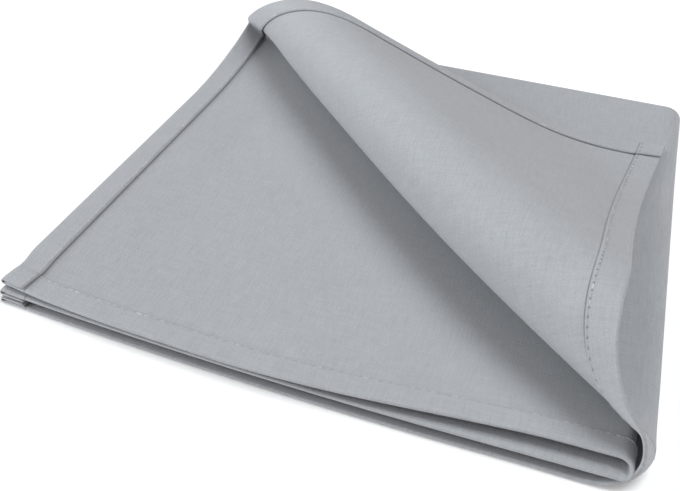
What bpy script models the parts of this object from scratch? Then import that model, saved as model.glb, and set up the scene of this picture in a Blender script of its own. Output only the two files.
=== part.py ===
"""Folded cloth napkin: one hemmed cloth, folded in quarters, its top corner turned back.

Metres, +Z up. The front edge runs along X, the fold creases lie at the back (+Y) and the
right (+X). Cloth positions are given by p, the distance from the right-hand fold, and q,
the distance from the back fold; each is negative on one side of its fold.
"""
import math

import bpy
import numpy as np

# Size of the folded pile and of the cloth
HALF_WIDTH = 0.125
HALF_DEPTH = 0.138
CLOTH_THICKNESS = 0.0012
HEM_WIDTH = 0.0115
HEM_STEP = 0.0004
HEM_EXTRA = 0.0010

# Middle heights of the four layers, bottom layer first
BOTTOM_HEIGHT = CLOTH_THICKNESS / 2
LOWER_HEIGHT = 0.0048
UPPER_HEIGHT = 0.0068
TOP_HEIGHT = 0.0090
EDGE_PUFF = 0.0012
EDGE_PUFF_REACH = 0.040

# Back fold: soft bends between the layers, puffed up along the back edge
BACK_BEND = 0.0026
BACK_SPACING = 0.0056
CORNER_SPACING = 0.0052
BACK_RISE_REACH = 0.0915
BACK_RISE_START = 0.040
LOWER_BACK_RISE = 0.0010
TOP_BACK_RISE = 0.0061

# Right fold: the inner pair of layers bends inside the outer pair. A reach is the depth of
# a bend, an inset its distance inside the nominal edge, and both change to the front
SIDE_BEND = 0.026
SIDE_ROUND = 0.011
OUTER_REACH = 0.009
OUTER_FRONT_REACH_ABOVE = 0.0067
OUTER_FRONT_REACH_BELOW = 0.019
OUTER_FRONT_INSET = 0.0030
FRONT_INSET_DEPTH = 0.028
INNER_FULLNESS = 1.2
INNER_INSET = 0.0047
INNER_FRONT_INSET = 0.0081
FRONT_BEND_START = 0.020

# Front edges: how far they wander forward, back and out, and the open mouth at the right.
# Starts and spans are shares of the folded width, counted from the left
UPPER_CORNER_BACK = 0.007
UPPER_CORNER_SPAN = 0.25
UPPER_BOW = 0.0043
UPPER_BOW_START = 0.10
UPPER_BOW_SPAN = 0.80
LOWER_FORWARD = 0.0044
LOWER_CORNER_BACK = 0.0091
LOWER_CORNER_SPAN = 0.75
LOWER_OUT = 0.0015
MOUTH_SHARE = 0.116
MOUTH_START = 0.40
MOUTH_SPAN = 0.45
MOUTH_POWER = 1.1

# Turned-back corner: a soft roll across the diagonal, then a slope down to the tip
ROLL_START = 0.0313
ROLL_LENGTH = 0.1009
ROLL_TURN_BACK = math.radians(23.3)
ROLL_BOW = 0.0118
ROLL_BOW_SKEW = 1.5
ROLL_BOW_REACH = 0.050
LANDING_LENGTH = 0.0727
LANDING_GAP = 0.0019
CREASE_SHIFT = (-0.0068, 0.0020)
CREASE_REACH = 0.0415
CREASE_TIGHTENING = 0.218
TIGHTENING_REACH = 0.077
TIP_LIFT = 0.0030
TIP_SHIFT = (0.0049, 0.0099)
TIP_REACH = 0.090
LONGEST_TRAVEL = 0.30
PROFILE_STEPS = 601

# Mesh divisions
TOP_CELLS = 24
DEEP_CELLS = 26
UNDER_CELLS = 18
LOWER_CELLS = 8
SIDE_BEND_CELLS = 8
BACK_BEND_CELLS = 6

# Small step for slopes, and the direction of the diagonal crease
NUDGE = 0.0002
DIAGONAL = math.atan2(HALF_DEPTH, HALF_WIDTH)
ALONG = np.array([-math.cos(DIAGONAL), math.sin(DIAGONAL)])
ACROSS = np.array([-math.sin(DIAGONAL), -math.cos(DIAGONAL)])
HALF_DIAGONAL = math.hypot(HALF_WIDTH, HALF_DEPTH)


def ramp(value, start, end):
    """0 before start, 1 after end, a parabola between."""
    return np.clip((value - start) / (end - start), 0.0, 1.0) ** 2


def running_sum(values, positions):
    """Area under the values from the first position up to each position."""
    areas = (values[1:] + values[:-1]) / 2 * np.diff(positions)
    return np.concatenate([[0.0], np.cumsum(areas)])


def roll_profile():
    """Distance travelled, forward travel and rise of the cloth as it rolls over and lands."""
    s = np.linspace(0.0, LONGEST_TRAVEL, PROFILE_STEPS)
    arc = np.clip(s / ROLL_LENGTH, 0.0, 1.0)
    rising = (math.pi + ROLL_TURN_BACK) / 2 * (1 - np.cos(math.pi * arc))
    rise_end = np.interp(ROLL_LENGTH, s, running_sum(np.sin(rising), s))
    ease = np.linspace(0.0, 1.0, PROFILE_STEPS)
    ease_angle = ROLL_TURN_BACK / 2 * (1 + np.cos(math.pi * ease))
    drop = LANDING_LENGTH * running_sum(np.sin(ease_angle), ease)[-1]
    straight = (rise_end - drop - LANDING_GAP) / math.sin(ROLL_TURN_BACK)
    landing = np.clip((s - ROLL_LENGTH - straight) / LANDING_LENGTH, 0.0, 1.0)
    angle = rising - ROLL_TURN_BACK / 2 * (1 - np.cos(math.pi * landing))
    return s, running_sum(np.cos(angle), s), running_sum(np.sin(angle), s)


ROLL_S, ROLL_FORWARD, ROLL_RISE = roll_profile()


def near(x_distance, y_distance, reach):
    """1 at a corner of the pile, 0 farther than the reach from it, a parabola between."""
    return np.clip(1 - (x_distance + y_distance) / math.sqrt(2) / reach, 0.0, 1.0) ** 2


def top_layer(x, y):
    """Top layer: flat at the back right, rolled over the diagonal at the front left."""
    m = x * ALONG[0] + y * ALONG[1]
    s = x * ACROSS[0] + y * ACROSS[1] + ROLL_START
    from_crease = HALF_DIAGONAL - m
    tightening = np.clip(1 - from_crease / TIGHTENING_REACH, 0.0, 1.0) ** 2
    scale = 1 - CREASE_TIGHTENING * tightening
    rolled = np.maximum(s, 0.0) / scale
    span = np.clip(from_crease / (2 * HALF_DIAGONAL), 0.0, 1.0)
    bow = ROLL_BOW * np.sin(math.pi * span ** ROLL_BOW_SKEW) * ramp(rolled, 0.0, ROLL_BOW_REACH)
    forward = scale * np.interp(rolled, ROLL_S, ROLL_FORWARD) + np.minimum(s, 0.0) - ROLL_START + bow
    crease = near(x + HALF_WIDTH, HALF_DEPTH - y, CREASE_REACH)
    tip = near(x + HALF_WIDTH, y + HALF_DEPTH, TIP_REACH)
    past_crease = np.clip((x + HALF_WIDTH) / BACK_RISE_START, 0.0, 1.0)
    puff = TOP_BACK_RISE * past_crease * ramp(y, HALF_DEPTH - BACK_RISE_REACH, HALF_DEPTH)
    new_x = m * ALONG[0] + forward * ACROSS[0] + CREASE_SHIFT[0] * crease + TIP_SHIFT[0] * tip
    new_y = m * ALONG[1] + forward * ACROSS[1] + CREASE_SHIFT[1] * crease + TIP_SHIFT[1] * tip
    rise = scale * np.interp(rolled, ROLL_S, ROLL_RISE)
    new_z = TOP_HEIGHT + rise + TIP_LIFT * tip + puff
    return np.stack([new_x, new_y, new_z], axis=-1)


def edge_puff(x, y):
    """Extra height where the hems stack up along the left and the front."""
    left = 1 - ramp(x, -HALF_WIDTH, -HALF_WIDTH + EDGE_PUFF_REACH)
    front = 1 - ramp(y, -HALF_DEPTH, -HALF_DEPTH + EDGE_PUFF_REACH)
    return EDGE_PUFF * np.maximum(left, front)


def lower_layer_height(x, y):
    return LOWER_HEIGHT + edge_puff(x, y) + LOWER_BACK_RISE * ramp(y, HALF_DEPTH - BACK_RISE_REACH,
                                                                  HALF_DEPTH)


def lower_slide(x, y):
    """The two lower layers lie askew: forward at the right, back and outward at the left."""
    t = (x + HALF_WIDTH) / (2 * HALF_WIDTH)
    front_share = (HALF_DEPTH - y) / (2 * HALF_DEPTH)
    back = LOWER_CORNER_BACK * np.clip(1 - t / LOWER_CORNER_SPAN, 0.0, 1.0) ** 2
    out = LOWER_OUT * (1 - t)
    return x - front_share * out, y + front_share * (back - LOWER_FORWARD)


def bottom_layer(x, y):
    new_x, new_y = lower_slide(x, y)
    return np.stack([new_x, new_y, BOTTOM_HEIGHT + 0 * new_x], axis=-1)


def lower_layer(x, y):
    new_x, new_y = lower_slide(x, y)
    return np.stack([new_x, new_y, lower_layer_height(x, y)], axis=-1)


def upper_layer(x, y):
    """Second layer from the top: its back left corner rises to the crease, its front opens."""
    t = (x + HALF_WIDTH) / (2 * HALF_WIDTH)
    front_share = (HALF_DEPTH - y) / (2 * HALF_DEPTH)
    corner_back = UPPER_CORNER_BACK * np.clip(1 - t / UPPER_CORNER_SPAN, 0.0, 1.0) ** 2
    bow_share = np.clip((t - UPPER_BOW_START) / UPPER_BOW_SPAN, 0.0, 1.0)
    bow = UPPER_BOW * np.sin(math.pi * bow_share) ** 2
    side_rise = top_layer(HALF_WIDTH - SIDE_BEND + 0 * x, np.minimum(y, 0.0))[..., 2] - TOP_HEIGHT
    mouth_share = np.clip((t - MOUTH_START) / MOUTH_SPAN, 0.0, 1.0)
    mouth = MOUTH_SHARE * side_rise * mouth_share ** MOUTH_POWER
    z = UPPER_HEIGHT + edge_puff(x, y) + mouth
    crease = top_layer(x, HALF_DEPTH + 0 * y)
    blend = ramp(y, HALF_DEPTH - BACK_RISE_REACH, HALF_DEPTH)
    past_crease = np.clip((x + HALF_WIDTH) / BACK_RISE_START, 0.0, 1.0)
    spacing = CORNER_SPACING + (BACK_SPACING - CORNER_SPACING) * past_crease
    new_x = x + blend * (crease[..., 0] - x)
    new_y = y + front_share * (corner_back - bow) + blend * (crease[..., 1] - HALF_DEPTH)
    new_z = z + blend * (crease[..., 2] - spacing - z)
    return np.stack([new_x, new_y, new_z], axis=-1)


def side_bent(p, y, above, below, inset, reach_above, reach_below):
    """Join the layer above the right-hand fold to the layer below it by a round bend."""
    straight_end = HALF_WIDTH - SIDE_BEND
    edge_above = HALF_WIDTH - inset - reach_above
    edge_below = HALF_WIDTH - inset - reach_below
    edge = np.where(p < 0, edge_above, edge_below)
    inward = np.clip((SIDE_BEND - np.abs(p)) / (SIDE_BEND - SIDE_ROUND), 0.0, 1.0)
    x = HALF_WIDTH - np.maximum(np.abs(p), SIDE_BEND) + inward * (edge - straight_end)
    flat = np.where((p < 0)[..., None], above(x, y), below(x, y))
    start, end = above(edge_above, y), below(edge_below, y)
    start_way = start - above(edge_above - NUDGE, y)
    end_way = below(edge_below - NUDGE, y) - end
    start_handle = (4 / 3 * reach_above / np.linalg.norm(start_way, axis=-1))[..., None] * start_way
    end_handle = (4 / 3 * reach_below / np.linalg.norm(end_way, axis=-1))[..., None] * end_way
    u = np.clip((p + SIDE_ROUND) / (2 * SIDE_ROUND), 0.0, 1.0)[..., None]
    bend = ((1 - u) ** 3 * start + 3 * u * (1 - u) ** 2 * (start + start_handle)
            + 3 * u ** 2 * (1 - u) * (end - end_handle) + u ** 3 * end)
    return np.where((np.abs(p) < SIDE_ROUND)[..., None], bend, flat)


def cloth_middle(p, q):
    """Middle of the cloth at p, q: both folds, the soft bends and the turned-back corner."""
    turn = np.clip(q / BACK_BEND, -1.0, 1.0) * math.pi / 2
    y = np.where(np.abs(q) < BACK_BEND, HALF_DEPTH - BACK_BEND + BACK_BEND * np.cos(turn),
                 HALF_DEPTH - np.abs(q))
    side = np.sin(turn)[..., None]
    front = ramp(-y, -FRONT_BEND_START, HALF_DEPTH)
    front_end = ramp(-y, HALF_DEPTH - FRONT_INSET_DEPTH, HALF_DEPTH)
    outer = side_bent(p, y, top_layer, bottom_layer, OUTER_FRONT_INSET * front_end,
                      OUTER_REACH + (OUTER_FRONT_REACH_ABOVE - OUTER_REACH) * front,
                      OUTER_REACH + (OUTER_FRONT_REACH_BELOW - OUTER_REACH) * front)
    straight_end = HALF_WIDTH - SIDE_BEND + 0 * y
    inner_gap = upper_layer(straight_end, y)[..., 2] - lower_layer(straight_end, y)[..., 2]
    inner_reach = INNER_FULLNESS * inner_gap / 2
    inner_inset = INNER_INSET + (INNER_FRONT_INSET - INNER_INSET) * front
    inner = side_bent(p, y, upper_layer, lower_layer, inner_inset, inner_reach, inner_reach)
    return (1 + side) / 2 * outer + (1 - side) / 2 * inner


def cloth_normals(p, q):
    """Unit normals on the hemmed face of the cloth."""
    along_p = cloth_middle(p + NUDGE, q) - cloth_middle(p - NUDGE, q)
    along_q = cloth_middle(p, q + NUDGE) - cloth_middle(p, q - NUDGE)
    normal = np.cross(along_p, along_q)
    return normal / np.linalg.norm(normal, axis=-1, keepdims=True)


def divisions(half_size, bend, rounded, first_cells, bend_cells, second_cells):
    """Positions from one cloth edge over the fold to the other, with both hem steps."""
    hem_outer = half_size - HEM_WIDTH + HEM_STEP
    hem_inner = half_size - HEM_WIDTH - HEM_STEP
    first = -np.linspace(hem_inner, bend, first_cells + 1)
    middle = np.linspace(-rounded, rounded, bend_cells + 1)
    second = np.linspace(bend, hem_inner, second_cells + 1)
    values = [[-half_size, -hem_outer], first, middle, second, [hem_outer, half_size]]
    return np.unique(np.round(np.concatenate(values), 7))


def build_napkin():
    p_values = divisions(2 * HALF_WIDTH, SIDE_BEND, SIDE_ROUND,
                         TOP_CELLS, SIDE_BEND_CELLS, LOWER_CELLS)
    q_values = divisions(2 * HALF_DEPTH, BACK_BEND, BACK_BEND,
                         UNDER_CELLS, BACK_BEND_CELLS, DEEP_CELLS)
    p, q = np.meshgrid(p_values, q_values, indexing="ij")
    middle = cloth_middle(p, q)
    normal = cloth_normals(p, q)
    edge_distance = np.minimum(2 * HALF_WIDTH - np.abs(p), 2 * HALF_DEPTH - np.abs(q))
    hem = np.where(edge_distance < HEM_WIDTH, HEM_EXTRA, 0.0)
    hemmed_face = middle + normal * (CLOTH_THICKNESS / 2 + hem)[..., None]
    plain_face = middle - normal * (CLOTH_THICKNESS / 2)
    rows, columns = p.shape
    vertices = np.concatenate([hemmed_face.reshape(-1, 3), plain_face.reshape(-1, 3)])
    low, high = vertices.min(axis=0), vertices.max(axis=0)
    vertices = vertices - [(low[0] + high[0]) / 2, (low[1] + high[1]) / 2, low[2]]
    plain_start = rows * columns

    faces = []
    for i in range(rows - 1):
        for j in range(columns - 1):
            a, b = i * columns + j, (i + 1) * columns + j
            faces.append((a, b, b + 1, a + 1))
            faces.append((plain_start + a, plain_start + a + 1, plain_start + b + 1, plain_start + b))
    border = [i * columns for i in range(rows)]
    border += [(rows - 1) * columns + j for j in range(1, columns)]
    border += [i * columns + columns - 1 for i in range(rows - 2, -1, -1)]
    border += [j for j in range(columns - 2, 0, -1)]
    for k, a in enumerate(border):
        b = border[(k + 1) % len(border)]
        faces.append((b, a, plain_start + a, plain_start + b))

    mesh = bpy.data.meshes.new("napkin_cloth")
    mesh.from_pydata(vertices.tolist(), [], faces)
    mesh.validate()
    mesh.materials.append(cloth_material())
    napkin = bpy.data.objects.new("napkin_cloth", mesh)
    bpy.context.scene.collection.objects.link(napkin)
    return napkin


def cloth_material():
    material = bpy.data.materials.new("grey_cotton")
    material.use_nodes = True
    shader = material.node_tree.nodes["Principled BSDF"]
    shader.inputs["Base Color"].default_value = (0.42, 0.44, 0.47, 1.0)
    shader.inputs["Roughness"].default_value = 0.9
    return material


for old in list(bpy.data.objects):
    bpy.data.objects.remove(old, do_unlink=True)
build_napkin()
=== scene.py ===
"""Looks of the folded napkin: its cloth with turned hems, stitches and weave.

Metres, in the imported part's frame. The folds are the CAD solid's, with a thinner cloth and
some edges and the roll moved by a few millimetres. p is the distance from the right-hand
fold and q the distance from the back fold.
"""
import math

import bpy
import numpy as np
from mathutils import Matrix, Vector


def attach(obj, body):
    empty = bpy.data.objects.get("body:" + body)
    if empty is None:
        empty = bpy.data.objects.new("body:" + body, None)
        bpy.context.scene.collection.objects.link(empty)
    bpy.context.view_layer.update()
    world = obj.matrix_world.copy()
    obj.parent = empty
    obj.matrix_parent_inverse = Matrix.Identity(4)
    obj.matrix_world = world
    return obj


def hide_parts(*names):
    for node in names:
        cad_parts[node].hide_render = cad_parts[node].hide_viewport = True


# Size of the folded pile and of the cloth
HALF_WIDTH = 0.125
HALF_DEPTH = 0.138
CLOTH_THICKNESS = 0.0012
HEM_WIDTH = 0.0115

# Middle heights of the four layers, bottom layer first
BOTTOM_HEIGHT = CLOTH_THICKNESS / 2
LOWER_HEIGHT = 0.0048
UPPER_HEIGHT = 0.0068
TOP_HEIGHT = 0.0090
EDGE_PUFF = 0.0012
EDGE_PUFF_REACH = 0.040

# Back fold: soft bends between the layers, puffed up along the back edge
BACK_BEND = 0.0026
BACK_SPACING = 0.0056
CORNER_SPACING = 0.0036
BACK_RISE_REACH = 0.0915
BACK_RISE_START = 0.040
LOWER_BACK_RISE = 0.0010
TOP_BACK_RISE = 0.0061

# Right fold: the inner pair of layers bends inside the outer pair. A reach is the depth of
# a bend, an inset its distance inside the nominal edge, and both change to the front
SIDE_BEND = 0.026
SIDE_ROUND = 0.011
OUTER_REACH = 0.009
OUTER_FRONT_REACH_ABOVE = 0.0067
OUTER_FRONT_REACH_BELOW = 0.019
OUTER_FRONT_INSET = 0.0056
FRONT_INSET_DEPTH = 0.016
INNER_FULLNESS = 1.2
INNER_DROOP = 0.6
INNER_INSET = 0.0047
INNER_FRONT_INSET = 0.0073
FRONT_BEND_START = 0.020

# Front edges: how far they wander forward, back and out, a pinch, and the mouth at the right.
# Starts and spans are shares of the folded width, counted from the left
UPPER_CORNER_BACK = 0.007
UPPER_CORNER_SPAN = 0.25
UPPER_BOW = 0.0043
UPPER_BOW_START = 0.10
UPPER_BOW_SPAN = 0.80
LOWER_FORWARD = 0.0044
LOWER_CORNER_BACK = 0.0091
LOWER_CORNER_SPAN = 0.75
LOWER_OUT = -0.0005
BOTTOM_FORWARD = 0.0015
BOTTOM_FORWARD_START = 0.80
HEM_PINCH = 0.0012
HEM_PINCH_REACH = 0.026
MOUTH_SHARE = 0.116
MOUTH_START = 0.40
MOUTH_SPAN = 0.45
MOUTH_POWER = 1.1

# Turned-back corner: a soft roll across the diagonal, then a slope down to the tip
ROLL_START = 0.0314
ROLL_LENGTH = 0.1025
ROLL_TURN_BACK = math.radians(24.9)
ROLL_BOW = 0.0095
ROLL_BOW_SKEW = 1.56
ROLL_BOW_REACH = 0.045
LANDING_LENGTH = 0.0512
LANDING_GAP = 0.0019
CREASE_SHIFT = (-0.0068, 0.0020)
CREASE_REACH = 0.0415
CREASE_TIGHTENING = 0.218
TIGHTENING_REACH = 0.077
TIP_LIFT = 0.0023
TIP_SHIFT = (0.0037, 0.0102)
TIP_REACH = 0.126
LONGEST_TRAVEL = 0.30
PROFILE_STEPS = 601

# Middle of the CAD part's box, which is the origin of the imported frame
FRAME_CENTRE = np.array([-0.0017990, 0.0006128, 0.0])

# Cloth and hem details that only show close up
PLY = 0.00085
HEM_LIFT = 0.00090
CORNER_LIFT = 0.00085
LIFT_CHANGE_INSIDE = 0.004
LIFT_CHANGE_OUTSIDE = 0.003
FRONT_HEM = 0.00070
FRONT_HEM_SLOPE = 0.0003
FRONT_HEM_EASE = 0.002
FRONT_HEM_EASE_OFFSET = 0.5
EDGE_ROUND = 0.0008
THINNEST_EDGE = 0.02
THINNEST_HEM_END = 0.8
HEM_NARROWING = 0.0006
NARROWING_REACH = 0.008
STITCH_INSET = 0.0013
STITCH_PITCH = 0.0035
STITCH_LENGTH = 0.0027
STITCH_RADIUS = 0.00021
STITCH_ALONG = (-0.5, -0.36, 0.0, 0.36, 0.5)
STITCH_GIRTH = (0.25, 0.85, 1.0, 0.85, 0.25)
STITCH_SIDES = 5
STITCH_SINK = 0.1
STITCH_BREADTH = 1.3
STITCH_WAY_STEP = 0.0005
THREAD_PITCH = 0.00045
THREAD_WANDER = 0.0015
# Painted shadow in the groove beside each hem: the cloth colour is darkened there, more on one half
GROOVE_OFFSET = 0.0002
GROOVE_HALF_WIDTH = 0.00045
GROOVE_PAINTED_SHADE = 0.36
GROOVE_SHADE_CHANGE = 0.20
# Painted shade in the stitch holes: dark dots in the cloth colour along the front hems' stitch rows
STITCH_HOLE = 0.0006
HOLE_PAINTED_SHADE = 0.40
HOLE_SHADE_CHANGE = 0.20

# Mesh divisions
TOP_ROWS = 84
LOWER_ROWS = 36
BEND_ROWS = 28
SIDE_ROWS = 8
HEM_ROWS = 8
TURN_ROWS = 7
UNDER_COLUMNS = 76
DEEP_COLUMNS = 96
CREASE_COLUMNS = 14

# Extra mesh lines at the hems: distances from the cloth's edge, then from the hem's inner edge
EDGE_LINES = (0.0, 0.00012, 0.0003, 0.0006, 0.0010, 0.0030, 0.0060, 0.0090)
HEM_LINES = (-0.0009, -0.00035, -0.0001, 0.0001)
FIRST_INNER_LINE = 0.0006
SIDE_EDGE_LINES = (0.0030, 0.0060, 0.0085)
SIDE_HEM_LINES = (-0.0010, 0.0, 0.0012)
FIRST_SIDE_LINE = 0.003

# Camera, fitted to the photograph's pile edges, hems and roll
VIEW_TARGET = Vector((-0.04831, -0.00516, 0.0))
VIEW_DISTANCE = 0.49518
VIEW_AZIMUTH = 0.31524
VIEW_ELEVATION = 0.54346
VIEW_ROLL = 0.05425
FOCAL_PIXELS = 1033.3
CENTRE_PIXEL = (290.0, 190.0)
PICTURE = (680, 491)
SENSOR_WIDTH = 36.0
CLIP_START = 0.01

# Finish of the cloth and the thread: noise scales are per metre
CLOTH_ROUGHNESS = 0.88
CLOTH_SPECULAR = 0.25
CLOTH_SHEEN = 0.25
SHEEN_ROUGHNESS = 0.6
NOISE_ROUGHNESS = 0.6
WANDER_SCALE = 260.0
SLUB_ACROSS = 1100.0
SLUB_ALONG = 90.0
FINE_SCALE = 1500.0
CLOUD_SCALE = 22.0
SLUB_RELIEF = 2.0
FINE_RELIEF = 6.0
BUMP_STRENGTH = 0.55
BUMP_DEPTH = 0.00006
THREAD_ROUGHNESS = 0.7
THREAD_SHEEN = 0.2
THREAD_NOISE_SCALE = 160.0
THREAD_NOISE_RANGE = (0.45, 0.72)
THREAD_SHADES = (0.75, 1.35)

# Floor
FLOOR_REACH = 4.0
FLOOR_DROP = 0.0002
FLOOR_COLOUR = (0.93, 0.93, 0.93)
FLOOR_ROUGHNESS = 0.9
FLOOR_SPECULAR = 0.1

# Colours and lights
SLUB_SHADE = 0.26
FINE_SHADE = 0.30
CLOUD_SHADE = 0.10
WEAVE_SHADE = 0.010
CLOTH_COLOUR = (0.345, 0.357, 0.379)
THREAD_COLOUR = (0.45, 0.46, 0.48)
WORLD_STRENGTH = 0.30
WORLD_COLOUR = (1.0, 0.86, 0.83)
LAMP_COLOUR = (0.92, 0.985, 1.0)
KEY_SIZE = 0.9
FILL_SIZE = 0.9
FLOOR_GLOW = 0.15
KEY_PLACE = (0.56, 0.05, 1.39)
KEY_POWER = 17.4
FILL_PLACE = (-1.25, -0.60, 0.56)
FILL_POWER = 18.0

# Small step for slopes, and the direction of the diagonal crease
NUDGE = 0.0002
DIAGONAL = math.atan2(HALF_DEPTH, HALF_WIDTH)
ALONG = np.array([-math.cos(DIAGONAL), math.sin(DIAGONAL)])
ACROSS = np.array([-math.sin(DIAGONAL), -math.cos(DIAGONAL)])
HALF_DIAGONAL = math.hypot(HALF_WIDTH, HALF_DEPTH)


def ramp(value, start, end):
    """0 before start, 1 after end, a parabola between."""
    return np.clip((value - start) / (end - start), 0.0, 1.0) ** 2


def running_sum(values, positions):
    """Area under the values from the first position up to each position."""
    areas = (values[1:] + values[:-1]) / 2 * np.diff(positions)
    return np.concatenate([[0.0], np.cumsum(areas)])


def roll_profile():
    """Distance travelled, forward travel and rise of the cloth as it rolls over and lands."""
    s = np.linspace(0.0, LONGEST_TRAVEL, PROFILE_STEPS)
    arc = np.clip(s / ROLL_LENGTH, 0.0, 1.0)
    rising = (math.pi + ROLL_TURN_BACK) / 2 * (1 - np.cos(math.pi * arc))
    rise_end = np.interp(ROLL_LENGTH, s, running_sum(np.sin(rising), s))
    ease = np.linspace(0.0, 1.0, PROFILE_STEPS)
    ease_angle = ROLL_TURN_BACK / 2 * (1 + np.cos(math.pi * ease))
    drop = LANDING_LENGTH * running_sum(np.sin(ease_angle), ease)[-1]
    straight = (rise_end - drop - LANDING_GAP) / math.sin(ROLL_TURN_BACK)
    landing = np.clip((s - ROLL_LENGTH - straight) / LANDING_LENGTH, 0.0, 1.0)
    angle = rising - ROLL_TURN_BACK / 2 * (1 - np.cos(math.pi * landing))
    return s, running_sum(np.cos(angle), s), running_sum(np.sin(angle), s)


ROLL_S, ROLL_FORWARD, ROLL_RISE = roll_profile()


def near(x_distance, y_distance, reach):
    """1 at a corner of the pile, 0 farther than the reach from it, a parabola between."""
    return np.clip(1 - (x_distance + y_distance) / math.sqrt(2) / reach, 0.0, 1.0) ** 2


def top_layer(x, y):
    """Top layer: flat at the back right, rolled over the diagonal at the front left."""
    m = x * ALONG[0] + y * ALONG[1]
    s = x * ACROSS[0] + y * ACROSS[1] + ROLL_START
    from_crease = HALF_DIAGONAL - m
    tightening = np.clip(1 - from_crease / TIGHTENING_REACH, 0.0, 1.0) ** 2
    scale = 1 - CREASE_TIGHTENING * tightening
    rolled = np.maximum(s, 0.0) / scale
    span = np.clip(from_crease / (2 * HALF_DIAGONAL), 0.0, 1.0)
    bow = ROLL_BOW * np.sin(math.pi * span ** ROLL_BOW_SKEW) * ramp(rolled, 0.0, ROLL_BOW_REACH)
    forward = scale * np.interp(rolled, ROLL_S, ROLL_FORWARD) + np.minimum(s, 0.0) - ROLL_START + bow
    crease = near(x + HALF_WIDTH, HALF_DEPTH - y, CREASE_REACH)
    tip = near(x + HALF_WIDTH, y + HALF_DEPTH, TIP_REACH)
    past_crease = np.clip((x + HALF_WIDTH) / BACK_RISE_START, 0.0, 1.0)
    puff = TOP_BACK_RISE * past_crease * ramp(y, HALF_DEPTH - BACK_RISE_REACH, HALF_DEPTH)
    new_x = m * ALONG[0] + forward * ACROSS[0] + CREASE_SHIFT[0] * crease + TIP_SHIFT[0] * tip
    new_y = m * ALONG[1] + forward * ACROSS[1] + CREASE_SHIFT[1] * crease + TIP_SHIFT[1] * tip
    rise = scale * np.interp(rolled, ROLL_S, ROLL_RISE)
    new_z = TOP_HEIGHT + rise + TIP_LIFT * tip + puff
    return np.stack([new_x, new_y, new_z], axis=-1)


def edge_puff(x, y):
    """Extra height where the hems stack up along the left and the front."""
    left = 1 - ramp(x, -HALF_WIDTH, -HALF_WIDTH + EDGE_PUFF_REACH)
    front = 1 - ramp(y, -HALF_DEPTH, -HALF_DEPTH + EDGE_PUFF_REACH)
    return EDGE_PUFF * np.maximum(left, front)


def lower_layer_height(x, y):
    return LOWER_HEIGHT + edge_puff(x, y) + LOWER_BACK_RISE * ramp(y, HALF_DEPTH - BACK_RISE_REACH,
                                                                  HALF_DEPTH)


def lower_slide(x, y):
    """The two lower layers lie askew: forward at the right, back and outward at the left."""
    t = (x + HALF_WIDTH) / (2 * HALF_WIDTH)
    front_share = (HALF_DEPTH - y) / (2 * HALF_DEPTH)
    back = LOWER_CORNER_BACK * np.clip(1 - t / LOWER_CORNER_SPAN, 0.0, 1.0) ** 2
    out = LOWER_OUT * (1 - t)
    return x - front_share * out, y + front_share * (back - LOWER_FORWARD)


def bottom_layer(x, y):
    new_x, new_y = lower_slide(x, y)
    t = (x + HALF_WIDTH) / (2 * HALF_WIDTH)
    front_share = (HALF_DEPTH - y) / (2 * HALF_DEPTH)
    new_y = new_y - BOTTOM_FORWARD * front_share * ramp(t, BOTTOM_FORWARD_START, 1.0)
    return np.stack([new_x, new_y, BOTTOM_HEIGHT + 0 * new_x], axis=-1)


def lower_layer(x, y):
    new_x, new_y = lower_slide(x, y)
    return np.stack([new_x, new_y, lower_layer_height(x, y)], axis=-1)


def upper_layer(x, y):
    """Second layer from the top: its back left corner rises to the crease, its front opens."""
    t = (x + HALF_WIDTH) / (2 * HALF_WIDTH)
    front_share = (HALF_DEPTH - y) / (2 * HALF_DEPTH)
    corner_back = UPPER_CORNER_BACK * np.clip(1 - t / UPPER_CORNER_SPAN, 0.0, 1.0) ** 2
    bow_share = np.clip((t - UPPER_BOW_START) / UPPER_BOW_SPAN, 0.0, 1.0)
    bow = UPPER_BOW * np.sin(math.pi * bow_share) ** 2
    side_rise = top_layer(HALF_WIDTH - SIDE_BEND + 0 * x, np.minimum(y, 0.0))[..., 2] - TOP_HEIGHT
    mouth_share = np.clip((t - MOUTH_START) / MOUTH_SPAN, 0.0, 1.0)
    mouth = MOUTH_SHARE * side_rise * mouth_share ** MOUTH_POWER
    z = UPPER_HEIGHT + edge_puff(x, y) + mouth
    crease = top_layer(x, HALF_DEPTH + 0 * y)
    blend = ramp(y, HALF_DEPTH - BACK_RISE_REACH, HALF_DEPTH)
    past_crease = np.clip((x + HALF_WIDTH) / BACK_RISE_START, 0.0, 1.0)
    spacing = CORNER_SPACING + (BACK_SPACING - CORNER_SPACING) * past_crease
    pinch_share = np.clip((HALF_DEPTH + y) / HEM_PINCH_REACH, 0.0, 1.0)
    at_left = ramp(-x, HALF_WIDTH - EDGE_PUFF_REACH, HALF_WIDTH)
    pinch = HEM_PINCH * np.sin(math.pi * pinch_share) ** 2 * at_left
    new_x = x + pinch + blend * (crease[..., 0] - x)
    new_y = y + front_share * (corner_back - bow) + blend * (crease[..., 1] - HALF_DEPTH)
    new_z = z + blend * (crease[..., 2] - spacing - z)
    return np.stack([new_x, new_y, new_z], axis=-1)


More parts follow.
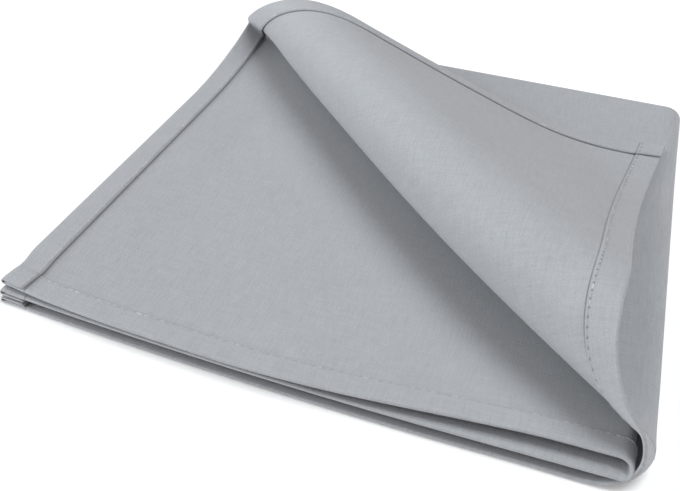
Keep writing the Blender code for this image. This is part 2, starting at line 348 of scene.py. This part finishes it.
def side_bent(p, y, above, below, inset, reach_above, reach_below):
    """Join the layer above the right-hand fold to the layer below it by a round bend."""
    straight_end = HALF_WIDTH - SIDE_BEND
    edge_above = HALF_WIDTH - inset - reach_above
    edge_below = HALF_WIDTH - inset - reach_below
    edge = np.where(p < 0, edge_above, edge_below)
    inward = np.clip((SIDE_BEND - np.abs(p)) / (SIDE_BEND - SIDE_ROUND), 0.0, 1.0)
    x = HALF_WIDTH - np.maximum(np.abs(p), SIDE_BEND) + inward * (edge - straight_end)
    flat = np.where((p < 0)[..., None], above(x, y), below(x, y))
    start, end = above(edge_above, y), below(edge_below, y)
    start_way = start - above(edge_above - NUDGE, y)
    end_way = below(edge_below - NUDGE, y) - end
    start_handle = (4 / 3 * reach_above / np.linalg.norm(start_way, axis=-1))[..., None] * start_way
    end_handle = (4 / 3 * reach_below / np.linalg.norm(end_way, axis=-1))[..., None] * end_way
    u = np.clip((p + SIDE_ROUND) / (2 * SIDE_ROUND), 0.0, 1.0)[..., None]
    bend = ((1 - u) ** 3 * start + 3 * u * (1 - u) ** 2 * (start + start_handle)
            + 3 * u ** 2 * (1 - u) * (end - end_handle) + u ** 3 * end)
    return np.where((np.abs(p) < SIDE_ROUND)[..., None], bend, flat)


def cloth_middle(p, q):
    """Middle of the cloth at p, q: both folds, the soft bends and the turned-back corner."""
    turn = np.clip(q / BACK_BEND, -1.0, 1.0) * math.pi / 2
    y = np.where(np.abs(q) < BACK_BEND, HALF_DEPTH - BACK_BEND + BACK_BEND * np.cos(turn),
                 HALF_DEPTH - np.abs(q))
    side = np.sin(turn)[..., None]
    front = ramp(-y, -FRONT_BEND_START, HALF_DEPTH)
    front_end = ramp(-y, HALF_DEPTH - FRONT_INSET_DEPTH, HALF_DEPTH)
    outer = side_bent(p, y, top_layer, bottom_layer, OUTER_FRONT_INSET * front_end,
                      OUTER_REACH + (OUTER_FRONT_REACH_ABOVE - OUTER_REACH) * front,
                      OUTER_REACH + (OUTER_FRONT_REACH_BELOW - OUTER_REACH) * front)
    straight_end = HALF_WIDTH - SIDE_BEND + 0 * y
    inner_gap = upper_layer(straight_end, y)[..., 2] - lower_layer(straight_end, y)[..., 2]
    inner_reach = INNER_FULLNESS * inner_gap / 2
    inner_inset = INNER_INSET + (INNER_FRONT_INSET - INNER_INSET) * front
    inner = side_bent(p, y, upper_layer, lower_layer, inner_inset,
                      inner_reach * (1 + INNER_DROOP * front), inner_reach * (1 - INNER_DROOP * front))
    return (1 + side) / 2 * outer + (1 - side) / 2 * inner


def step_between(value, start, end):
    """0 before start, 1 after end, smooth between."""
    t = np.clip((value - start) / (end - start), 0.0, 1.0)
    return t * t * (3 - 2 * t)


def unit(vectors):
    return vectors / np.linalg.norm(vectors, axis=-1, keepdims=True)


def cloth_frame(p, q):
    """Middle of the cloth, its direction towards larger p, and its hemmed-face normal."""
    along_p = cloth_middle(p + NUDGE, q) - cloth_middle(p - NUDGE, q)
    along_q = cloth_middle(p, q + NUDGE) - cloth_middle(p, q - NUDGE)
    return cloth_middle(p, q), unit(along_p), unit(np.cross(along_p, along_q))


def hem_lift(q):
    """How far the turned side hem lies above the cloth: more over the front hem."""
    from_end = 2 * HALF_DEPTH - np.abs(q)
    past_hem = step_between(from_end, HEM_WIDTH - LIFT_CHANGE_INSIDE, HEM_WIDTH + LIFT_CHANGE_OUTSIDE)
    return HEM_LIFT + CORNER_LIFT * (1 - past_hem)


def hem_width(q):
    """Side hem width: it narrows towards its open ends."""
    from_end = 2 * HALF_DEPTH - np.abs(q)
    return HEM_WIDTH - HEM_NARROWING * (1 - np.clip(from_end / NARROWING_REACH, 0.0, 1.0)) ** 2


def column_positions():
    """q from one front edge over the back fold to the other, dense at the hems."""
    full = 2 * HALF_DEPTH
    edge = np.array(EDGE_LINES + tuple(HEM_WIDTH + line for line in HEM_LINES))
    inner = full - HEM_WIDTH - FIRST_INNER_LINE
    first = -np.linspace(inner, BACK_BEND, UNDER_COLUMNS + 1)
    crease = np.linspace(-BACK_BEND, BACK_BEND, CREASE_COLUMNS + 1)
    second = np.linspace(BACK_BEND, inner, DEEP_COLUMNS + 1)
    values = np.concatenate([edge - full, first, crease, second, full - edge])
    return np.unique(np.round(values, 7))


def body_rows():
    """p of the cloth between the two side hems' folds."""
    full = 2 * HALF_WIDTH
    hems = np.array(SIDE_EDGE_LINES + tuple(HEM_WIDTH + line for line in SIDE_HEM_LINES))
    inner = full - HEM_WIDTH - FIRST_SIDE_LINE
    first = -np.linspace(inner, SIDE_BEND, TOP_ROWS + 1)
    side = np.linspace(SIDE_ROUND, SIDE_BEND, SIDE_ROWS + 1)
    bend = np.linspace(-SIDE_ROUND, SIDE_ROUND, BEND_ROWS + 1)
    second = np.linspace(SIDE_BEND, inner, LOWER_ROWS + 1)
    values = np.concatenate([hems - full, first, -side, bend, side, second, full - hems])
    return np.unique(np.round(values, 7))


def hem_strip_rows(end, q):
    """Ply of a side hem from its stitched edge to its outer fold: middles, facings and u."""
    full = 2 * HALF_WIDTH
    lift, width = hem_lift(q), hem_width(q)
    radius = lift / 2
    share = np.linspace(0.0, 1.0, HEM_ROWS + 1)[:, None]
    from_edge = width + (radius - width) * share
    middle, outward, normal = cloth_frame(end * (full - from_edge), q + 0 * from_edge)
    ply = middle + normal * lift[..., None]
    face = -normal
    u = end * (full + from_edge)
    turn = np.linspace(0.0, math.pi, TURN_ROWS + 2)[1:, None]
    middle, way, normal = cloth_frame(end * (full - radius) + 0 * turn, q + 0 * turn)
    away = end * way * np.sin(turn)[..., None] + normal * np.cos(turn)[..., None]
    fold = middle + normal * radius[:, None] + away * radius[:, None]
    u_fold = end * (full + radius * (1 - 2 * turn / math.pi))
    return np.concatenate([ply, fold]), np.concatenate([face, -away]), np.concatenate([u, u_fold])


def front_hem(p, q):
    """Extra thickness on the hemmed face where the front hem is turned under its stitches."""
    from_edge = 2 * HALF_DEPTH - np.abs(q)
    from_fold = 2 * HALF_WIDTH - np.abs(p)
    past_fold = np.clip(from_fold / FRONT_HEM_EASE - FRONT_HEM_EASE_OFFSET, 0.0, 1.0)
    past_hem = step_between(from_edge, HEM_WIDTH - FRONT_HEM_SLOPE, HEM_WIDTH)
    return FRONT_HEM * past_fold * (1 - past_hem)


def cloth_mesh(name):
    """The whole napkin as one closed cloth, with its side hems really turned over."""
    q = column_positions()
    p_body = body_rows()
    p, qq = np.meshgrid(p_body, q, indexing="ij")
    middle, _, normal = cloth_frame(p, qq)
    left_middle, left_face, left_u = hem_strip_rows(-1, q)
    right_middle, right_face, right_u = hem_strip_rows(1, q)
    middles = np.concatenate([left_middle, middle, right_middle[::-1]])
    faces_in = np.concatenate([left_face, normal, right_face[::-1]])
    u = np.concatenate([left_u, p, right_u[::-1]])
    extra = np.concatenate([0 * left_u, front_hem(p, qq), 0 * right_u])
    v = qq[0] + 0 * u
    from_edge = 2 * HALF_DEPTH - np.abs(v)
    rounding = np.clip(from_edge / EDGE_ROUND, 0.0, 1.0)
    rounding = np.sqrt(np.clip(1 - (1 - rounding) ** 2, THINNEST_EDGE, 1.0))
    body = np.concatenate([np.zeros(len(left_u)), np.ones(len(p_body)), np.zeros(len(right_u))])
    rounding = np.where(body[:, None] > 0, rounding, np.maximum(rounding, THINNEST_HEM_END))
    half = (PLY + extra) / 2 * rounding
    centre = middles + faces_in * (extra / 2)[..., None]
    inner = centre + faces_in * half[..., None]
    outer = centre - faces_in * half[..., None]
    return closed_sheet(name, inner, outer, u, v)


def sheet_faces(rows, columns):
    """Faces of both sides of a sheet and of the rim that joins them."""
    count = rows * columns
    i, j = np.meshgrid(np.arange(rows - 1), np.arange(columns - 1), indexing="ij")
    a = (i * columns + j).reshape(-1)
    b = a + columns
    top = np.stack([a, b, b + 1, a + 1], axis=1)
    bottom = count + np.stack([a, a + 1, b + 1, b], axis=1)
    border = [i * columns for i in range(rows)]
    border += [(rows - 1) * columns + j for j in range(1, columns)]
    border += [i * columns + columns - 1 for i in range(rows - 2, -1, -1)]
    border += list(range(columns - 2, 0, -1))
    border = np.array(border)
    following = np.roll(border, -1)
    rim = np.stack([following, border, count + border, count + following], axis=1)
    return np.concatenate([top, bottom, rim])


def add_piece(name, mesh):
    """Shade the mesh smooth and put it in the scene as a piece."""
    mesh.polygons.foreach_set("use_smooth", np.ones(len(mesh.polygons), dtype=bool))
    mesh.update()
    piece = bpy.data.objects.new(name, mesh)
    bpy.context.scene.collection.objects.link(piece)
    return piece


def closed_sheet(name, inner, outer, u, v):
    """A closed mesh from two matching grids of points, with u and v as its cloth positions."""
    points = np.concatenate([inner.reshape(-1, 3), outer.reshape(-1, 3)]) - FRAME_CENTRE
    mesh = bpy.data.meshes.new(name)
    mesh.from_pydata(points.tolist(), [], sheet_faces(*u.shape).tolist())
    cloth_uv = np.stack([u.reshape(-1), v.reshape(-1)], axis=1)
    cloth_uv = np.concatenate([cloth_uv, cloth_uv])
    layer = mesh.uv_layers.new(name="cloth")
    corners = np.empty(len(mesh.loops), dtype=np.int32)
    mesh.loops.foreach_get("vertex_index", corners)
    layer.data.foreach_set("uv", cloth_uv[corners].reshape(-1).astype(np.float32))
    return add_piece(name, mesh)


def stitch_lines():
    """Centres, directions and normals of every stitch, on both faces of all four hems."""
    found = []
    inset = HEM_WIDTH - STITCH_INSET
    count = int(4 * HALF_DEPTH / STITCH_PITCH)
    q = (np.arange(count) + 0.5) * STITCH_PITCH - count * STITCH_PITCH / 2
    for end in (-1, 1):
        from_edge = hem_width(q) - STITCH_INSET
        p = end * (2 * HALF_WIDTH - from_edge)
        middle, _, normal = cloth_frame(p, q)
        way = unit(cloth_middle(p, q + STITCH_WAY_STEP) - cloth_middle(p, q - STITCH_WAY_STEP))
        found.append((middle + normal * (hem_lift(q) + PLY / 2)[:, None], way, normal))
        found.append((middle - normal * (PLY / 2 - STITCH_RADIUS / 2), way, -normal))
    count = int((4 * HALF_WIDTH - 2 * HEM_WIDTH) / STITCH_PITCH)
    p = (np.arange(count) + 0.5) * STITCH_PITCH - count * STITCH_PITCH / 2
    for end in (-1, 1):
        q = end * (2 * HALF_DEPTH - inset) + 0 * p
        middle, way, normal = cloth_frame(p, q)
        found.append((middle + normal * (PLY / 2 + FRONT_HEM), way, normal))
        found.append((middle - normal * (PLY / 2 - STITCH_RADIUS / 2), way, -normal))
    return found


def bead_faces(start):
    """Faces of one bead whose points are numbered from start."""
    sides = STITCH_SIDES
    faces = []
    for k in range(len(STITCH_ALONG) - 1):
        for corner in range(sides):
            a = start + k * sides + corner
            b = start + k * sides + (corner + 1) % sides
            faces.append((a, b, b + sides, a + sides))
    faces.append(tuple(start + corner for corner in reversed(range(sides))))
    last = start + (len(STITCH_ALONG) - 1) * sides
    faces.append(tuple(last + corner for corner in range(sides)))
    return faces


def stitch_mesh(name):
    """Every stitch as a short rounded bead of thread, sunk a little into the cloth."""
    angles = np.arange(STITCH_SIDES) * 2 * math.pi / STITCH_SIDES
    points, faces = [], []
    for centres, ways, normals in stitch_lines():
        across = np.cross(normals, ways)
        for centre, way, normal, side in zip(centres, ways, normals, across):
            faces += bead_faces(len(points))
            for step, size in zip(STITCH_ALONG, STITCH_GIRTH):
                ring = centre + way * step * STITCH_LENGTH - normal * STITCH_RADIUS * STITCH_SINK
                for angle in angles:
                    lift = normal * math.sin(angle) + side * math.cos(angle) * STITCH_BREADTH
                    points.append(ring + lift * STITCH_RADIUS * size)
    mesh = bpy.data.meshes.new(name)
    mesh.from_pydata((np.array(points) - FRAME_CENTRE).tolist(), [], faces)
    return add_piece(name, mesh)


def math_node(tree, operation, first, second=None):
    made = tree.nodes.new("ShaderNodeMath")
    made.operation = operation
    for slot, value in enumerate((first, second)):
        if value is None:
            continue
        if isinstance(value, (int, float)):
            made.inputs[slot].default_value = value
        else:
            tree.links.new(value, made.inputs[slot])
    return made.outputs[0]


def stretched_noise(tree, u, v, u_scale, v_scale, detail):
    """Noise drawn out along the threads, to stand for uneven yarn."""
    place = tree.nodes.new("ShaderNodeCombineXYZ")
    tree.links.new(math_node(tree, "MULTIPLY", u, u_scale), place.inputs[0])
    tree.links.new(math_node(tree, "MULTIPLY", v, v_scale), place.inputs[1])
    noise = tree.nodes.new("ShaderNodeTexNoise")
    noise.inputs["Scale"].default_value = 1.0
    noise.inputs["Detail"].default_value = detail
    noise.inputs["Roughness"].default_value = NOISE_ROUGHNESS
    tree.links.new(place.outputs[0], noise.inputs["Vector"])
    return noise.outputs[0]


def band_mask(tree, value, middle, half_width):
    """1 where the value is at the middle of the band, falling to 0 at its edges."""
    distance = math_node(tree, "ABSOLUTE", math_node(tree, "SUBTRACT", value, middle))
    mask = math_node(tree, "SUBTRACT", 1.0, math_node(tree, "DIVIDE", distance, half_width))
    return math_node(tree, "MAXIMUM", mask, 0.0)


def painted_hem_shade(tree, u, v):
    """Painted shadow in the groove beside every hem, deeper on the top layer, and painted shade in the
    stitch holes along the front hems.
    """
    from_side = math_node(tree, "SUBTRACT", 2 * HALF_WIDTH, math_node(tree, "ABSOLUTE", u))
    side_groove = band_mask(tree, from_side, HEM_WIDTH + GROOVE_OFFSET, GROOVE_HALF_WIDTH)
    from_front = math_node(tree, "SUBTRACT", 2 * HALF_DEPTH, math_node(tree, "ABSOLUTE", v))
    front_groove = band_mask(tree, from_front, HEM_WIDTH + GROOVE_OFFSET, GROOVE_HALF_WIDTH)
    side = math_node(tree, "SIGN", v)
    painted_shade = math_node(tree, "ADD", math_node(tree, "MULTIPLY", side, GROOVE_SHADE_CHANGE), GROOVE_PAINTED_SHADE)
    front_groove = math_node(tree, "MULTIPLY", front_groove, painted_shade)
    side_groove = math_node(tree, "MULTIPLY", side_groove, GROOVE_PAINTED_SHADE + GROOVE_SHADE_CHANGE)
    groove_shade = math_node(tree, "MAXIMUM", front_groove, side_groove)
    row = band_mask(tree, from_front, HEM_WIDTH - STITCH_INSET, STITCH_HOLE)
    beat = math_node(tree, "COSINE", math_node(tree, "MULTIPLY", u, 2 * math.pi / STITCH_PITCH))
    hole_shade = math_node(tree, "MULTIPLY", row, math_node(tree, "MAXIMUM", beat, 0.0))
    painted_shade = math_node(tree, "ADD", math_node(tree, "MULTIPLY", side, HOLE_SHADE_CHANGE), HOLE_PAINTED_SHADE)
    return math_node(tree, "ADD", groove_shade, math_node(tree, "MULTIPLY", hole_shade, painted_shade))


def weave_height(tree, u, v):
    """Threads that run over and under each other, wandering a little."""
    turn = math.pi / THREAD_PITCH
    noise = stretched_noise(tree, u, v, WANDER_SCALE, WANDER_SCALE, 1.0)
    wander = math_node(tree, "MULTIPLY", noise, THREAD_WANDER)
    warp = math_node(tree, "SINE", math_node(tree, "MULTIPLY", math_node(tree, "ADD", u, wander), turn))
    weft = math_node(tree, "SINE", math_node(tree, "MULTIPLY", math_node(tree, "SUBTRACT", v, wander), turn))
    return math_node(tree, "MULTIPLY", warp, weft)


def cloth_material(name):
    """Grey plain weave: over-and-under threads, uneven yarn, soft sheen, painted shade in the hem grooves
    and stitch holes.
    """
    material = bpy.data.materials.new(name)
    material.use_nodes = True
    tree = material.node_tree
    shader = tree.nodes["Principled BSDF"]
    shader.inputs["Roughness"].default_value = CLOTH_ROUGHNESS
    shader.inputs["Specular IOR Level"].default_value = CLOTH_SPECULAR
    shader.inputs["Sheen Weight"].default_value = CLOTH_SHEEN
    shader.inputs["Sheen Roughness"].default_value = SHEEN_ROUGHNESS
    place = tree.nodes.new("ShaderNodeUVMap")
    place.uv_map = "cloth"
    split = tree.nodes.new("ShaderNodeSeparateXYZ")
    tree.links.new(place.outputs[0], split.inputs[0])
    u, v = split.outputs[0], split.outputs[1]
    weave = weave_height(tree, u, v)
    slub = math_node(tree, "ADD", stretched_noise(tree, u, v, SLUB_ACROSS, SLUB_ALONG, 2.0),
                     stretched_noise(tree, u, v, SLUB_ALONG, SLUB_ACROSS, 2.0))
    fine = stretched_noise(tree, u, v, FINE_SCALE, FINE_SCALE, 1.0)
    cloud = stretched_noise(tree, u, v, CLOUD_SCALE, CLOUD_SCALE, 3.0)
    shade = 1.0 - SLUB_SHADE - FINE_SHADE / 2 - CLOUD_SHADE / 2
    for pattern, share in ((slub, SLUB_SHADE), (fine, FINE_SHADE), (cloud, CLOUD_SHADE),
                           (weave, WEAVE_SHADE)):
        shade = math_node(tree, "ADD", math_node(tree, "MULTIPLY", pattern, share), shade)
    # Painted shade: the hem grooves and stitch holes darken the cloth colour
    after_painted_shade = math_node(tree, "SUBTRACT", 1.0, painted_hem_shade(tree, u, v))
    colour = tree.nodes.new("ShaderNodeVectorMath")
    colour.operation = "SCALE"
    colour.inputs[0].default_value = CLOTH_COLOUR
    tree.links.new(math_node(tree, "MULTIPLY", shade, after_painted_shade), colour.inputs["Scale"])
    tree.links.new(colour.outputs[0], shader.inputs["Base Color"])
    height = math_node(tree, "ADD", weave, math_node(tree, "MULTIPLY", slub, SLUB_RELIEF))
    height = math_node(tree, "ADD", height, math_node(tree, "MULTIPLY", fine, FINE_RELIEF))
    bump = tree.nodes.new("ShaderNodeBump")
    bump.inputs["Strength"].default_value = BUMP_STRENGTH
    bump.inputs["Distance"].default_value = BUMP_DEPTH
    tree.links.new(height, bump.inputs["Height"])
    tree.links.new(bump.outputs[0], shader.inputs["Normal"])
    return material


def thread_material(name):
    """Sewing thread, a little paler and smoother than the cloth."""
    material = bpy.data.materials.new(name)
    material.use_nodes = True
    tree = material.node_tree
    shader = tree.nodes["Principled BSDF"]
    shader.inputs["Roughness"].default_value = THREAD_ROUGHNESS
    shader.inputs["Sheen Weight"].default_value = THREAD_SHEEN
    noise = tree.nodes.new("ShaderNodeTexNoise")
    noise.inputs["Scale"].default_value = THREAD_NOISE_SCALE
    ramp_node = tree.nodes.new("ShaderNodeValToRGB")
    ends = ramp_node.color_ramp.elements
    for end, position, shade in zip(ends, THREAD_NOISE_RANGE, THREAD_SHADES):
        end.position = position
        end.color = (*[shade * channel for channel in THREAD_COLOUR], 1)
    place = tree.nodes.new("ShaderNodeTexCoord")
    tree.links.new(place.outputs["Object"], noise.inputs["Vector"])
    tree.links.new(noise.outputs[0], ramp_node.inputs[0])
    tree.links.new(ramp_node.outputs[0], shader.inputs["Base Color"])
    return material


def build_floor():
    mesh = bpy.data.meshes.new("floor")
    reach = FLOOR_REACH
    mesh.from_pydata([(-reach, -reach, 0), (reach, -reach, 0), (reach, reach, 0), (-reach, reach, 0)],
                     [], [(0, 1, 2, 3)])
    material = bpy.data.materials.new("white_surface")
    material.use_nodes = True
    shader = material.node_tree.nodes["Principled BSDF"]
    shader.inputs["Base Color"].default_value = (*FLOOR_COLOUR, 1)
    shader.inputs["Roughness"].default_value = FLOOR_ROUGHNESS
    shader.inputs["Specular IOR Level"].default_value = FLOOR_SPECULAR
    shader.inputs["Emission Color"].default_value = (1, 1, 1, 1)
    shader.inputs["Emission Strength"].default_value = FLOOR_GLOW
    mesh.materials.append(material)
    floor = bpy.data.objects.new("floor", mesh)
    floor.location.z = -FLOOR_DROP
    bpy.context.scene.collection.objects.link(floor)


def build_light(name, place, size, power):
    """A broad square lamp that faces the pile."""
    light = bpy.data.lights.new(name, "AREA")
    light.shape = "SQUARE"
    light.size = size
    light.energy = power
    light.color = LAMP_COLOUR
    lamp = bpy.data.objects.new(name, light)
    lamp.location = place
    lamp.rotation_euler = Vector(place).to_track_quat("Z", "Y").to_euler()
    bpy.context.scene.collection.objects.link(lamp)


def build_world():
    world = bpy.data.worlds.new("studio")
    world.use_nodes = True
    background = world.node_tree.nodes["Background"]
    background.inputs["Color"].default_value = (*WORLD_COLOUR, 1.0)
    background.inputs["Strength"].default_value = WORLD_STRENGTH
    bpy.context.scene.world = world
    bpy.context.scene.view_settings.view_transform = "Standard"


def build_camera():
    back = Vector((math.sin(VIEW_AZIMUTH) * math.cos(VIEW_ELEVATION),
                   -math.cos(VIEW_AZIMUTH) * math.cos(VIEW_ELEVATION), math.sin(VIEW_ELEVATION)))
    place = VIEW_TARGET + back * VIEW_DISTANCE - Vector(FRAME_CENTRE)
    level = (-back).cross(Vector((0, 0, 1))).normalized()
    upright = level.cross(-back)
    right = level * math.cos(VIEW_ROLL) + upright * math.sin(VIEW_ROLL)
    up = upright * math.cos(VIEW_ROLL) - level * math.sin(VIEW_ROLL)
    data = bpy.data.cameras.new("camera")
    data.sensor_width = SENSOR_WIDTH
    data.lens = FOCAL_PIXELS / PICTURE[0] * data.sensor_width
    data.shift_x = (PICTURE[0] / 2 - CENTRE_PIXEL[0]) / PICTURE[0]
    data.shift_y = (CENTRE_PIXEL[1] - PICTURE[1] / 2) / PICTURE[0]
    data.clip_start = CLIP_START
    camera = bpy.data.objects.new("camera", data)
    camera.matrix_world = Matrix.Translation(place) @ Matrix((right, up, back)).transposed().to_4x4()
    bpy.context.scene.collection.objects.link(camera)
    bpy.context.scene.camera = camera


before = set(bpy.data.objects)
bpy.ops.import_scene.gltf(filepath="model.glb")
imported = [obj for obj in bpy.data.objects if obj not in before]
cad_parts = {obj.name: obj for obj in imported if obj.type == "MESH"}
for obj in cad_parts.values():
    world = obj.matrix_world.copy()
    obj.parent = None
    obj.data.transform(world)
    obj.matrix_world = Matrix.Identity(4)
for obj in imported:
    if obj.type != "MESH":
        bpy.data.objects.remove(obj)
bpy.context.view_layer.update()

cloth = cloth_mesh("cloth")
cloth.data.materials.append(cloth_material("woven_cotton"))
stitches = stitch_mesh("stitches")
stitches.data.materials.append(thread_material("sewing_thread"))
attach(cloth, "root")
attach(stitches, "root")
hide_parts("napkin_cloth")

build_floor()
build_world()
build_light("key", KEY_PLACE, KEY_SIZE, KEY_POWER)
build_light("fill", FILL_PLACE, FILL_SIZE, FILL_POWER)
build_camera()
